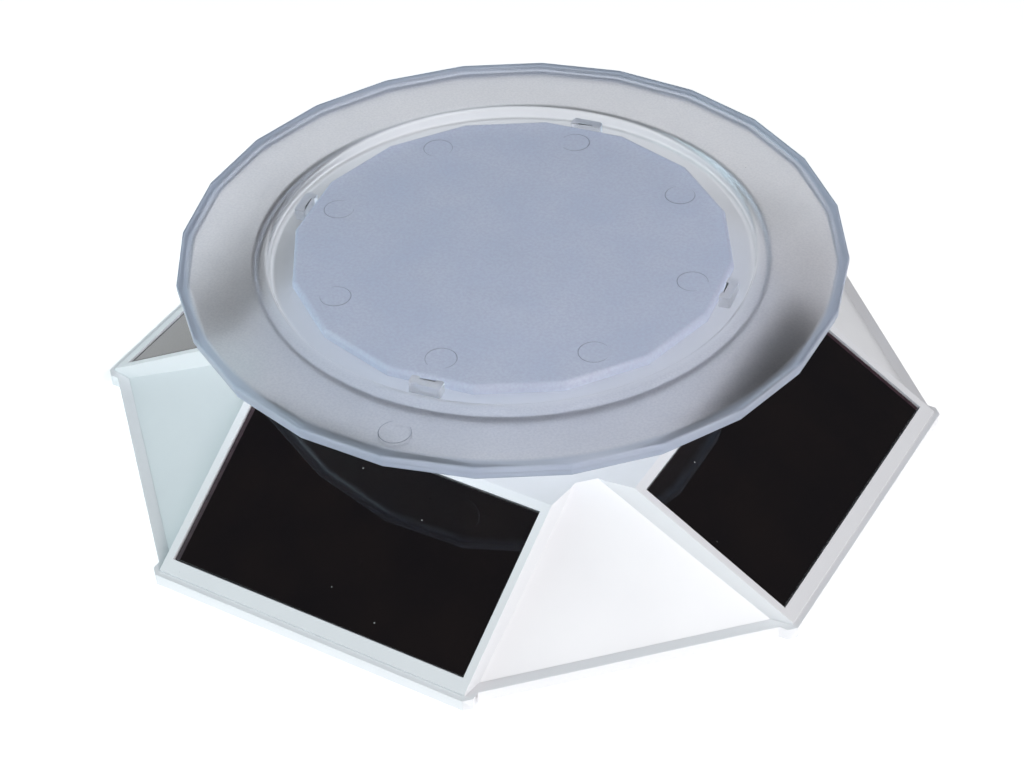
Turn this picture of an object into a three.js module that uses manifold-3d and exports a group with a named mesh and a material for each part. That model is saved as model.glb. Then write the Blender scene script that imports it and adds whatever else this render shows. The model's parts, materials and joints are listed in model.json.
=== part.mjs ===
// Solar-powered turntable display stand: a frosted 24-sided turntable on a low white base with four
// sloping solar panels. Millimetres, +Z up, origin under the middle of the base where its feet stand.
// Inside, a small motor with a worm turns a worm wheel, whose pinion turns the gear on the spindle.
import * as THREE from "three";
import { mergeVertices } from "three/addons/utils/BufferGeometryUtils.js";
import Module from "manifold-3d";

const wasm = await Module();
wasm.setup();

// ---------------------------------------------------------------- driving dimensions

const FOOT_PROUD = 0.8; // the feet hold the base this far off the table
const GAP = 0.3; // clearance between pieces that sit in one another
const JOINT_LINE = 0.05; // clearance between pieces that rest flat on one another
const RUNNING_FIT = 0.07; // radial clearance of a shaft in its bearing
const ROOT = 0.5; // how deep a rib or post is rooted in the wall that it stands on
const PAST = 1; // how far a cutting tool reaches past the face that it cuts
const FAR = 100; // further out than any piece reaches
const QUARTER_TURNS = [0, 1, 2, 3];

// Base, in plan: four arms along +-X and +-Y, with a flat facet across each corner between them.
const PLATE = { slab: 1.5, lip: 2.2, armEnd: 66.2, armHalf: 29.66, facet: 65.9, corner: 1.2 };
const LIP_INNER = { armEnd: 64.1, armHalf: 27.85, facet: 62.9, corner: 0.6 };
const TONGUE_GAP = 0.2;
const COVER = {
  bottom: PLATE.lip + JOINT_LINE,
  tongueBottom: PLATE.slab + JOINT_LINE,
  top: 18.8,
  wall: 2.0,
  armEnd: 65.2,
  armHalf: 28.95,
  ridgeHalf: 28.25,
  sideDraft: 0.28,
  facetFoot: 64.0,
  facetSlope: 0.78,
};
const ARM_SLOPE = Math.atan(0.589);

// Solar panels, each in a pocket of the arm's sloping face. The pocket's centre is on that face.
const POCKET = { radius: 51.08, height: 10.89, length: 28.1, width: 53.84, depth: 1.7, floor: 0.8 };
const PANEL = { sunk: 0.3, thickness: 1.3, edgeGap: 0.2 };
const LEAD_HOLE = { radius: 1.5, up: 11, aside: 14 };

// Fasteners and feet, on the diagonals of the base.
const BASE_SCREW = { place: 34.2, shank: 1.2, head: 2.7, headHeight: 1.1, length: 8.5 };
const SCREW_BOSS = { radius: 3.5, pilot: 1.35, pilotTop: 11.5 };
const SCREW_PAD = { radius: 4.2, top: 2.6, hole: 1.7, seat: 3.0, seatDepth: 1.2 };
const FOOT = { place: 40.5, radius: 5, thickness: 1.6, chamfer: 0.4 };
const FOOT_SEAT = { radius: FOOT.radius + 0.15, depth: 0.8 };

// Spindle, its bush and the collar it comes up through.
const SPINDLE = { radius: 2.0, bottom: 2.6, top: 25.2 };
const SPINDLE_CUP = { radius: 4.5, top: 6 };
const COLLAR = { radius: 11, top: 21.2 };
const BUSH = { bore: SPINDLE.radius + RUNNING_FIT, radius: 3.4, flange: 4.6, flangeHeight: 0.6 };
const WASHER = { bore: 2.15, radius: 5, thickness: 0.4 };

// Gears: a single-start worm, a worm wheel with its pinion, and the gear on the spindle.
const MODULE = 0.5;
const TEETH = { wheel: 30, pinion: 10, output: 60 };
const PRESSURE_ANGLE = THREE.MathUtils.degToRad(20);
const WORM = { pitchRadius: 2.5, threadHeight: 0.5, length: 7.5, bore: 0.83, sides: 12, rowsPerTurn: 12 };
const FLANK_STEEPNESS = 1.6; // above 1, the worm's thread has flat crests and roots
const WHEEL = { bottom: 6.0, top: 9.0, hubRadius: 3.2, hubBottom: 5.4, hubTop: 10.5, bore: 0.83 };
const TOOTH = {
  wheel: { addendum: 0.42, dedendum: 0.65, backlash: 0.16 },
  pinion: { addendum: 0.45, dedendum: 0.62, backlash: 0.12 },
  output: { addendum: 0.42, dedendum: 0.62, backlash: 0.12 },
};
const OUTPUT = { bottom: 11.4, top: 14.2, hubRadius: 5, hubBottom: 9.8, bore: 2.05 };
const pitchRadius = (teeth) => (teeth * MODULE) / 2;
const WHEEL_DISTANCE = pitchRadius(TEETH.pinion) + pitchRadius(TEETH.output);
const WHEEL_BEARING = THREE.MathUtils.degToRad(135);
const WHEEL_AXIS = {
  x: WHEEL_DISTANCE * Math.cos(WHEEL_BEARING),
  y: WHEEL_DISTANCE * Math.sin(WHEEL_BEARING),
};
const MOTOR_AXIS = {
  y: WHEEL_AXIS.y + pitchRadius(TEETH.wheel) + WORM.pitchRadius,
  z: (WHEEL.bottom + WHEEL.top) / 2,
};

// Motor, lying along X, with its shaft pointing to -X.
const MOTOR = { front: -4, back: 11, radius: 6, halfHeight: 5, noseRadius: 2, noseLength: 1 };
const MOTOR_CAP = { length: 2.5, inset: 0.4, terminalY: 3.2, terminalHalf: 0.8, terminalEnd: 4 };
const SHAFT = { radius: 0.75, end: -20.1, inMotor: 3.5, socketRadius: 0.9, socketDepth: 5 };
const CRADLE = { wall: 1.2, top: 8, inset: 2 };
const STEADY = { start: -20.3, thickness: 2, halfWidth: 2, top: 9.5 }; // carries the shaft's far end
const WHEEL_PIN = { radius: 0.75, bottom: 2.5, top: 15.5, socketRadius: 2.4, socketTop: 5.1 };
const BRIDGE = { bottom: 14.5, top: 15.7, postX: 20.5, postY: 8, postRadius: 3, halfWidth: 4, sideHalf: 3 };
const BRIDGE_SCREW = { shank: 0.75, head: 1.6, headHeight: 0.9, length: 6 };
const BRIDGE_HOLE = { radius: 1.1, pilot: 0.85, pilotBottom: 8 };

// Battery: one AA cell lying along X behind a door in the base plate.
const CELL = { radius: 7.1, y: -24, z: 9.2, left: -25, right: 25, nubRadius: 2.7, nubLength: 1 };
const WELL = { left: -29, right: 27, front: -31.4, back: -16.6, wall: 1.2, sideTop: 9.5, endTop: 14 };
const DOOR = { left: -27.3, right: 26.3, front: -31.1, back: -16.9, thickness: 1.2 };
const DOOR_TAB = { width: 2.4, inset: 2.7, length: 2, bottom: PLATE.slab + 0.15, top: 2.5, reach: 1.7 };
const TAB_NOTCH = { width: 2 * DOOR_TAB.width, start: WELL.right - 2, end: WELL.right + 3, top: 3.6 };
const DOOR_LATCH = { slotPlace: 3.2, slotHalf: 0.4, slotLength: 6 };
const DOOR_GROOVE = { places: [2.2, 3.6, 5.0], width: 0.6, halfLength: 2.4, depth: 0.35 };
const SPRING = { wire: 0.3, turns: 3.5, stepsPerTurn: 10, smallRadius: 1.8, bigRadius: 3.4 };
const CONTACT = { thickness: 0.4, offWall: 0.1, top: WELL.endTop + 0.4 };
const SPRING_PLATE = { halfWidth: 5, bottom: 3.2 };
const FLAT_PLATE = { halfWidth: 4.5, bottom: 4.8, dimple: 1.6 };

// Slide switch under the base.
const SWITCH = { x: 27, y: 8, halfLength: 4.25, halfWidth: 2, top: 6.8, travel: 3 };
const SWITCH_SLOT = { halfWidth: 1.5, halfLength: 3.4 };
const FINGER_DISH = { halfWidth: 3.5, halfLength: 6.5, depth: 0.7 };
const SLIDER = { halfWidth: 1.2, halfLength: 1.5, bottom: 0.3, top: 3.0 };
const SLIDER_GROOVE = { places: [-0.9, 0, 0.9], halfWidth: 0.2, depth: 0.25 };

// Small board that the panels, the battery, the switch and the motor are wired to.
const BOARD = { halfLength: 8, front: 32, back: 42, bottom: 3.3, thickness: 1 };
const BOARD_POST = { radius: 1.5, places: [-6, 6], y: 37 };
const DIODE = { radius: 0.9, length: 4.4, y: 38 };

// Insulated leads, held inside the base from end to end.
const LEAD = { radius: 0.6, sides: 8, stepLength: 3.5 };
const ON_FLOOR = PLATE.slab + LEAD.radius + GAP; // a lead's middle where it lies on the plate
const OVER_BOARD = BOARD.bottom + BOARD.thickness + GAP; // where a lead ends, on the board's top
const OVER_CONTACT = CONTACT.top + GAP; // where a lead starts, on a battery contact

// Turntable: the disk's rim is a 24-gon and its insert a 16-gon. Radii are to the corners.
const DISK = {
  turn: THREE.MathUtils.degToRad(9.2),
  sides: 24,
  radius: 55,
  drafted: 54.6,
  top: 34.0,
  middle: 32.7,
  bottom: 31.3,
  topEdge: 0.4,
  bottomEdge: 0.3,
  skin: 1.3,
  skirt: 1.6,
  skirtDraft: 0.3,
  stepRadius: 40.2,
  stepWall: 1.8,
  stepDraft: 0.6,
  floorTop: 32.0,
  floorBottom: 30.7,
  wellRadius: 9,
  wellWall: 1.5,
  wellTop: 30.1,
  wellBottom: 28.8,
  centreHole: 1.3,
};
const CLIP = { inner: 36.15, outer: 38.1, halfWidth: 2.7, top: 33.9 };
const INSERT = { sides: 16, radius: 36.5, bottom: 32.1, top: 33.8, edge: 0.3 };
const HUB = { bottom: 22.3, radius: 7, neckTop: 26.4, top: 28.7, boreTop: 25.4 };
const HUB_FLANGE = { radius: 13, bottom: 27.5 };
const HUB_SCREW = { shank: 1.0, pilot: 1.1, tip: 25.7, head: 2.2, headHeight: 1.3 };

// ---------------------------------------------------------------- geometry helpers

function toSolid(geometry) {
  const bare = geometry.clone();
  bare.deleteAttribute("normal");
  bare.deleteAttribute("uv");
  const merged = mergeVertices(bare, 1e-4);
  return new wasm.Manifold(
    new wasm.Mesh({
      numProp: 3,
      vertProperties: new Float32Array(merged.attributes.position.array),
      triVerts: new Uint32Array(merged.index.array),
    }),
  );
}

function toGeometry(solid) {
  const { vertProperties, triVerts } = solid.getMesh();
  const geometry = new THREE.BufferGeometry();
  geometry.setAttribute("position", new THREE.BufferAttribute(vertProperties, 3));
  geometry.setIndex(new THREE.BufferAttribute(triVerts, 1));
  return geometry;
}

function join(...pieces) {
  return toGeometry(pieces.map(toSolid).reduce((a, b) => a.add(b)));
}

function common(...pieces) {
  return toGeometry(pieces.map(toSolid).reduce((a, b) => a.intersect(b)));
}

function cut(body, ...tools) {
  return toGeometry(tools.map(toSolid).reduce((a, b) => a.subtract(b), toSolid(body)));
}

function box([x0, x1], [y0, y1], [z0, z1]) {
  const geometry = new THREE.BoxGeometry(x1 - x0, y1 - y0, z1 - z0);
  return geometry.translate((x0 + x1) / 2, (y0 + y1) / 2, (z0 + z1) / 2);
}

// A round post or hole along Z.
function post(radius, z0, z1, x = 0, y = 0, sides = 32) {
  const geometry = new THREE.CylinderGeometry(radius, radius, z1 - z0, sides);
  return geometry.rotateX(Math.PI / 2).translate(x, y, (z0 + z1) / 2);
}

// A round bar or hole along X.
function bar(radius, x0, x1, y, z, sides = 24) {
  const geometry = new THREE.CylinderGeometry(radius, radius, x1 - x0, sides);
  return geometry.rotateZ(Math.PI / 2).translate((x0 + x1) / 2, y, z);
}

// A turned solid about Z. The profile lists [radius, height] and runs anticlockwise.
function turned(profile, sides = 48) {
  const points = profile.map(([radius, height]) => new THREE.Vector2(radius, height));
  return new THREE.LatheGeometry(points, sides).rotateX(Math.PI / 2);
}

function prism(points, z0, z1) {
  const shape = new THREE.Shape(points.map(([x, y]) => new THREE.Vector2(x, y)));
  return new THREE.ExtrudeGeometry(shape, { depth: z1 - z0, bevelEnabled: false }).translate(0, 0, z0);
}

const turnedBy = (geometry, quarter) => geometry.clone().rotateZ((quarter * Math.PI) / 2);
const onAllSides = (geometry) => QUARTER_TURNS.map((quarter) => turnedBy(geometry, quarter));

// ---------------------------------------------------------------- gears

const involute = (angle) => Math.tan(angle) - angle;

// Half a tooth's angle at a radius, for a gear with the standard pressure angle.
function toothHalfAngle(teeth, radius, backlash) {
  const pitch = pitchRadius(teeth);
  const base = pitch * Math.cos(PRESSURE_ANGLE);
  const atRadius = Math.acos(Math.min(1, base / Math.max(radius, base)));
  const atPitch = Math.PI / (2 * teeth) - backlash / (2 * pitch);
  return atPitch + involute(PRESSURE_ANGLE) - involute(atRadius);
}

// The outline of a spur gear with one tooth centred on +X.
function gearOutline(teeth, { addendum, dedendum, backlash }) {
  const pitch = pitchRadius(teeth);
  const radii = [pitch - dedendum, pitch, pitch + addendum];
  const points = [];
  for (let tooth = 0; tooth < teeth; tooth++) {
    const centre = (tooth * 2 * Math.PI) / teeth;
    const flank = radii.map((radius) => [radius, toothHalfAngle(teeth, radius, backlash)]);
    flank.forEach(([radius, half]) => points.push(polar(radius, centre - half)));
    flank.reverse().forEach(([radius, half]) => points.push(polar(radius, centre + half)));
  }
  return points;
}

function polar(radius, angle) {
  return [radius * Math.cos(angle), radius * Math.sin(angle)];
}

// A worm thread along X: flat crests and roots with sloping flanks, winding right-handed.
function wormThread() {
  const lead = Math.PI * MODULE;
  const rows = Math.round((WORM.length / lead) * WORM.rowsPerTurn);
  const length = (rows * lead) / WORM.rowsPerTurn;
  const geometry = new THREE.CylinderGeometry(1, 1, length, WORM.sides, rows).rotateZ(-Math.PI / 2);
  const position = geometry.attributes.position;
  for (let i = 0; i < position.count; i++) {
    const [x, y, z] = [position.getX(i), position.getY(i), position.getZ(i)];
    const wave = FLANK_STEEPNESS * Math.cos(Math.atan2(z, y) - (2 * Math.PI * x) / lead);
    const radius = WORM.pitchRadius + WORM.threadHeight * THREE.MathUtils.clamp(wave, -1, 1);
    position.setXYZ(i, x, y * radius, z * radius);
  }
  return geometry;
}

// ---------------------------------------------------------------- base shell

// The base's outline in plan, for one size of arm and corner facet.
function baseOutline({ armEnd, armHalf, facet, corner }) {
  const shoulder = facet * Math.SQRT2 - armHalf;
  const arm = [
    [shoulder, -armHalf],
    [armEnd - corner, -armHalf],
    [armEnd, -armHalf + corner],
    [armEnd, armHalf - corner],
    [armEnd - corner, armHalf],
    [shoulder, armHalf],
  ];
  return QUARTER_TURNS.flatMap((quarter) => {
    const [c, s] = [[1, 0], [0, 1], [-1, 0], [0, -1]][quarter];
    return arm.map(([x, y]) => [c * x - s * y, s * x + c * y]);
  });
}

function insetOutline({ armEnd, armHalf, facet, corner }, inset) {
  return { armEnd: armEnd - inset, armHalf: armHalf - inset, facet: facet - inset, corner };
}

// Puts a piece drawn on an arm's sloping face (x down the slope, z out of it) in place on the +X arm.
const onSlope = (geometry) => geometry.rotateY(ARM_SLOPE).translate(POCKET.radius, 0, POCKET.height);

// One arm of the base's outer form, or of its hollow when inset by the wall.
function armForm(inset, bottom) {
  const top = COVER.ridgeHalf - inset;
  const depth = 45; // enough to pass below the base all along the arm
  const foot = top + depth * COVER.sideDraft;
  const section = [[-foot, -depth], [foot, -depth], [top, -inset], [-top, -inset]];
  const slab = onSlope(prism(section, -FAR, FAR).rotateX(Math.PI / 2).rotateZ(Math.PI / 2));
  const half = COVER.armHalf - inset;
  return common(slab, box([0, COVER.armEnd - inset], [-half, half], [bottom, COVER.top - inset]));
}

// The facet across the corner between the +X and +Y arms, drawn by its profile along the diagonal.
function facetForm(inset, bottom) {
  const foot = COVER.facetFoot - inset / Math.sin(Math.atan(COVER.facetSlope));
  const top = COVER.top - inset;
  const radiusAt = (height) => foot - (height - COVER.bottom) / COVER.facetSlope;
  const inner = 28; // well inside the arms, which meet the facet further out
  const halfWidth = 32; // wider than the facet, which the arms cut to its triangle
  const profile = [[inner, bottom], [radiusAt(bottom), bottom], [radiusAt(top), top], [inner, top]];
  const wedge = prism(profile, -halfWidth, halfWidth).rotateX(Math.PI / 2).rotateZ(Math.PI / 4);
  const intoArms = 1.5; // how far the facet runs into the arms on its two sides
  const start = COVER.armHalf - inset - intoArms;
  return common(wedge, box([start, FAR], [start, FAR], [bottom, top]));
}

function baseForm(inset, bottom) {
  return join(...onAllSides(armForm(inset, bottom)), ...onAllSides(facetForm(inset, bottom)));
}

// A box around an arm's pocket, from a depth below the sloping face to well above it.
function pocketBox(margin, depth) {
  const above = 6;
  const x = POCKET.length / 2 + margin;
  const y = POCKET.width / 2 + margin;
  return onSlope(box([-x, x], [-y, y], [-depth, above]));
}

function baseCover() {
  const trays = onAllSides(pocketBox(COVER.wall, POCKET.depth + POCKET.floor));
  const hollow = cut(baseForm(COVER.wall, COVER.tongueBottom - PAST), ...trays);
  const tongueOutline = baseOutline(insetOutline(LIP_INNER, TONGUE_GAP));
  const tongue = prism(tongueOutline, COVER.tongueBottom, COVER.bottom + ROOT);
  const shell = cut(join(baseForm(0, COVER.bottom), tongue), hollow);

  const { place } = BASE_SCREW;
  const bossPost = post(SCREW_BOSS.radius, SCREW_PAD.top + JOINT_LINE, COVER.top, place, place, 16);
  const boss = common(bossPost, facetForm(0, COVER.bottom));
  const collar = post(COLLAR.radius, COVER.top - COVER.wall, COLLAR.top, 0, 0, 40);

  const trayBottom = -POCKET.depth - POCKET.floor;
  const leadHole = post(LEAD_HOLE.radius, trayBottom - PAST, 0, -LEAD_HOLE.up, LEAD_HOLE.aside, 10);
  const pilot = post(SCREW_BOSS.pilot, 0, SCREW_BOSS.pilotTop, place, place, 10);
  const bushHole = post(BUSH.radius + JOINT_LINE, COVER.top - COVER.wall - PAST, COLLAR.top + PAST);
  return cut(
    join(shell, collar, ...onAllSides(boss)),
    ...onAllSides(pocketBox(0, POCKET.depth)),
    ...onAllSides(onSlope(leadHole)),
    ...onAllSides(pilot),
    bushHole,
  );
}

function solarPanel() {
  const x = POCKET.length / 2 - PANEL.edgeGap;
  const y = POCKET.width / 2 - PANEL.edgeGap;
  return box([-x, x], [-y, y], [-PANEL.sunk - PANEL.thickness, -PANEL.sunk]);
}

// ---------------------------------------------------------------- base plate

function motorCradle() {
  const inner = MOTOR.radius + GAP;
  const outer = inner + CRADLE.wall;
  const bottom = PLATE.slab - ROOT;
  const length = [MOTOR.front + CRADLE.inset, MOTOR.back - CRADLE.inset];
  const ribs = [[-outer, -inner], [inner, outer]].map(([from, to]) =>
    box(length, [MOTOR_AXIS.y + from, MOTOR_AXIS.y + to], [bottom, CRADLE.top]),
  );
  const { start, thickness, halfWidth, top } = STEADY;
  const steadySides = [MOTOR_AXIS.y - halfWidth, MOTOR_AXIS.y + halfWidth];
  return [...ribs, box([start, start + thickness], steadySides, [bottom, top])];
}

function batteryWell() {
  const { left, right, front, back, wall, sideTop, endTop } = WELL;
  const bottom = PLATE.slab - ROOT;
  const intoSides = 0.1;
  const ends = [front - intoSides, back + intoSides];
  return [
    box([left - wall, right + wall], [front - wall, front], [bottom, sideTop]),
    box([left - wall, right + wall], [back, back + wall], [bottom, sideTop]),
    box([left - wall, left], ends, [bottom, endTop]),
    box([right, right + wall], ends, [bottom, endTop]),
  ];
}

// The slot that the switch's slider stands in.
function switchSlot(bottom, top) {
  const { halfWidth, halfLength } = SWITCH_SLOT;
  const { x, y } = SWITCH;
  return box([x - halfWidth, x + halfWidth], [y - halfLength, y + halfLength], [bottom, top]);
}

const doorTabPlaces = [DOOR.front + DOOR_TAB.inset, DOOR.back - DOOR_TAB.inset];

function basePlate() {
  const top = PLATE.slab;
  const bottom = top - ROOT;
  const rim = prism(baseOutline(PLATE), 0, PLATE.lip);
  const tray = cut(rim, prism(baseOutline(LIP_INNER), top, PLATE.lip + PAST));
  const { postX, postY } = BRIDGE;
  const bridgePost = (radius, from, to, sides) => [1, -1].map((side) =>
    post(radius, from, to, side * postX, side * postY, sides),
  );
  const boardPosts = BOARD_POST.places.map((x) =>
    post(BOARD_POST.radius, bottom, BOARD.bottom - JOINT_LINE, x, BOARD_POST.y, 10),
  );
  const { place } = BASE_SCREW;
  const body = join(
    tray,
    ...onAllSides(post(SCREW_PAD.radius, bottom, SCREW_PAD.top, place, place, 16)),
    ...bridgePost(BRIDGE.postRadius, bottom, BRIDGE.bottom - JOINT_LINE, 16),
    ...boardPosts,
    ...motorCradle(),
    ...batteryWell(),
    post(SPINDLE_CUP.radius, bottom, SPINDLE_CUP.top, 0, 0, 24),
    post(WHEEL_PIN.socketRadius, bottom, WHEEL_PIN.socketTop, WHEEL_AXIS.x, WHEEL_AXIS.y, 16),
  );

  const doorway = box(
    [DOOR.left - GAP, DOOR.right + GAP],
    [DOOR.front - GAP, DOOR.back + GAP],
    [-PAST, top + JOINT_LINE],
  );
  const tabNotches = doorTabPlaces.map((y) =>
    box(
      [TAB_NOTCH.start, TAB_NOTCH.end],
      [y - TAB_NOTCH.width / 2, y + TAB_NOTCH.width / 2],
      [top, TAB_NOTCH.top],
    ),
  );
  const { halfWidth, halfLength, depth } = FINGER_DISH;
  const fingerDish = box(
    [SWITCH.x - halfWidth, SWITCH.x + halfWidth],
    [SWITCH.y - halfLength, SWITCH.y + halfLength],
    [-PAST, depth],
  );
  const shaftHole = bar(
    SHAFT.radius + RUNNING_FIT,
    STEADY.start - PAST,
    STEADY.start + STEADY.thickness + PAST,
    MOTOR_AXIS.y,
    MOTOR_AXIS.z,
  );
  const pinHole = post(
    WHEEL_PIN.radius + JOINT_LINE,
    WHEEL_PIN.bottom - JOINT_LINE,
    WHEEL_PIN.socketTop + PAST,
    WHEEL_AXIS.x,
    WHEEL_AXIS.y,
    16,
  );
  return cut(
    body,
    ...onAllSides(post(SCREW_PAD.hole, -PAST, SCREW_PAD.top + PAST, place, place, 10)),
    ...onAllSides(post(SCREW_PAD.seat, -PAST, SCREW_PAD.seatDepth, place, place, 16)),
    ...onAllSides(post(FOOT_SEAT.radius, -PAST, FOOT_SEAT.depth, FOOT.place, FOOT.place, 24)),
    ...bridgePost(BRIDGE_HOLE.pilot, BRIDGE_HOLE.pilotBottom, BRIDGE.bottom + PAST, 10),
    ...tabNotches,
    doorway,
    switchSlot(-PAST, top + PAST),
    fingerDish,
    post(SPINDLE.radius + RUNNING_FIT, SPINDLE.bottom - JOINT_LINE, SPINDLE_CUP.top + PAST),
    shaftHole,
    pinHole,
  );
}

function batteryDoor() {
  const { left, right, front, back, thickness } = DOOR;
  const { width, length, bottom, top, reach } = DOOR_TAB;
  const panel = box([left, right], [front, back], [0, thickness]);
  const tabs = doorTabPlaces.flatMap((y) => [
    box([right - length, right], [y - width / 2, y + width / 2], [thickness - ROOT, top]),
    box([right - length / 2, right + reach], [y - width / 2, y + width / 2], [bottom, top]),
  ]);
  const middle = (front + back) / 2;
  const { slotPlace, slotHalf, slotLength } = DOOR_LATCH;
  const latchSlots = [middle - slotPlace, middle + slotPlace].map((y) =>
    box([left - PAST, left + slotLength], [y - slotHalf, y + slotHalf], [-PAST, thickness + PAST]),
  );
  const thumbGrooves = DOOR_GROOVE.places.map((from) =>
    box(
      [left + from, left + from + DOOR_GROOVE.width],
      [middle - DOOR_GROOVE.halfLength, middle + DOOR_GROOVE.halfLength],
      [-PAST, DOOR_GROOVE.depth],
    ),
  );
  return cut(join(panel, ...tabs), ...latchSlots, ...thumbGrooves);
}

// ---------------------------------------------------------------- battery, switch and board

function batteryCell() {
  const { left, right, radius, nubRadius, nubLength } = CELL;
  const [shoulder, rounding] = [0.8, 0.6];
  const profile = [
    [0, left],
    [radius - shoulder, left],
    [radius, left + rounding],
    [radius, right - rounding],
    [radius - shoulder, right],
    [nubRadius, right],
    [nubRadius, right + nubLength],
    [0, right + nubLength],
  ];
  return turned(profile, 24).rotateY(Math.PI / 2);
}

// The coil that presses on the cell's flat end, riveted to its contact plate.
function contactSpring() {
  const plateFace = WELL.left + CONTACT.offWall + CONTACT.thickness;
  const coilEnd = CELL.left - GAP - SPRING.wire;
  const points = [];
  const steps = SPRING.turns * SPRING.stepsPerTurn;
  for (let i = 0; i <= steps; i++) {
    const along = i / steps;
    const angle = along * SPRING.turns * 2 * Math.PI;
    const radius = THREE.MathUtils.lerp(SPRING.bigRadius, SPRING.smallRadius, along);
    const [y, z] = polar(radius, angle);
    points.push(new THREE.Vector3(THREE.MathUtils.lerp(plateFace, coilEnd, along), CELL.y + y, CELL.z + z));
  }
  const section = new THREE.Shape().absarc(0, 0, SPRING.wire, 0, 2 * Math.PI);
  const coil = new THREE.ExtrudeGeometry(section, {
    steps,
    curveSegments: 5,
    bevelEnabled: false,
    extrudePath: new THREE.CatmullRomCurve3(points),
  });
  const { halfWidth, bottom } = SPRING_PLATE;
  const plate = box(
    [plateFace - CONTACT.thickness, plateFace],
    [CELL.y - halfWidth, CELL.y + halfWidth],
    [bottom, CONTACT.top],
  );
  return join(coil, plate);
}

function contactPlate() {
  const { halfWidth, bottom, dimple } = FLAT_PLATE;
  const back = WELL.right - CONTACT.offWall;
  const front = back - CONTACT.thickness;
  const face = box([front, back], [CELL.y - halfWidth, CELL.y + halfWidth], [bottom, CONTACT.top]);
  const tip = CELL.right + CELL.nubLength + JOINT_LINE;
  return join(face, bar(dimple, tip, (front + back) / 2, CELL.y, CELL.z, 16));
}

function switchBody() {
  const { x, y, halfLength, halfWidth, top } = SWITCH;
  const sides = [x - halfWidth, x + halfWidth];
  const ends = [y - halfLength, y + halfLength];
  const headroom = 0.2;
  return cut(box(sides, ends, [PLATE.slab + JOINT_LINE, top]), switchSlot(0, SLIDER.top + headroom));
}

function switchSlider() {
  const { halfWidth, halfLength, bottom, top } = SLIDER;
  const body = box([-halfWidth, halfWidth], [-halfLength, halfLength], [bottom, top]);
  const grooves = SLIDER_GROOVE.places.map((y) =>
    box(
      [-halfWidth - PAST, halfWidth + PAST],
      [y - SLIDER_GROOVE.halfWidth, y + SLIDER_GROOVE.halfWidth],
      [bottom - PAST, bottom + SLIDER_GROOVE.depth],
    ),
  );
  return cut(body, ...grooves);
}

function wiringBoard() {
  const { halfLength, front, back, bottom, thickness } = BOARD;
  return box([-halfLength, halfLength], [front, back], [bottom, bottom + thickness]);
}

function blockingDiode() {
  const height = BOARD.bottom + BOARD.thickness + DIODE.radius + JOINT_LINE;
  return bar(DIODE.radius, -DIODE.length / 2, DIODE.length / 2, DIODE.y, height, 16);
}

// ---------------------------------------------------------------- leads

// Where a panel's lead starts: in the hole under the panel, turned to the panel's arm.
function panelLeadStart(quarter) {
  const underPanel = -PANEL.sunk - PANEL.thickness - GAP;
  return new THREE.Vector3(-LEAD_HOLE.up, LEAD_HOLE.aside, underPanel)
    .applyAxisAngle(new THREE.Vector3(0, 1, 0), ARM_SLOPE)
    .add(new THREE.Vector3(POCKET.radius, 0, POCKET.height))
    .applyAxisAngle(new THREE.Vector3(0, 0, 1), (quarter * Math.PI) / 2);
}

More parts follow.
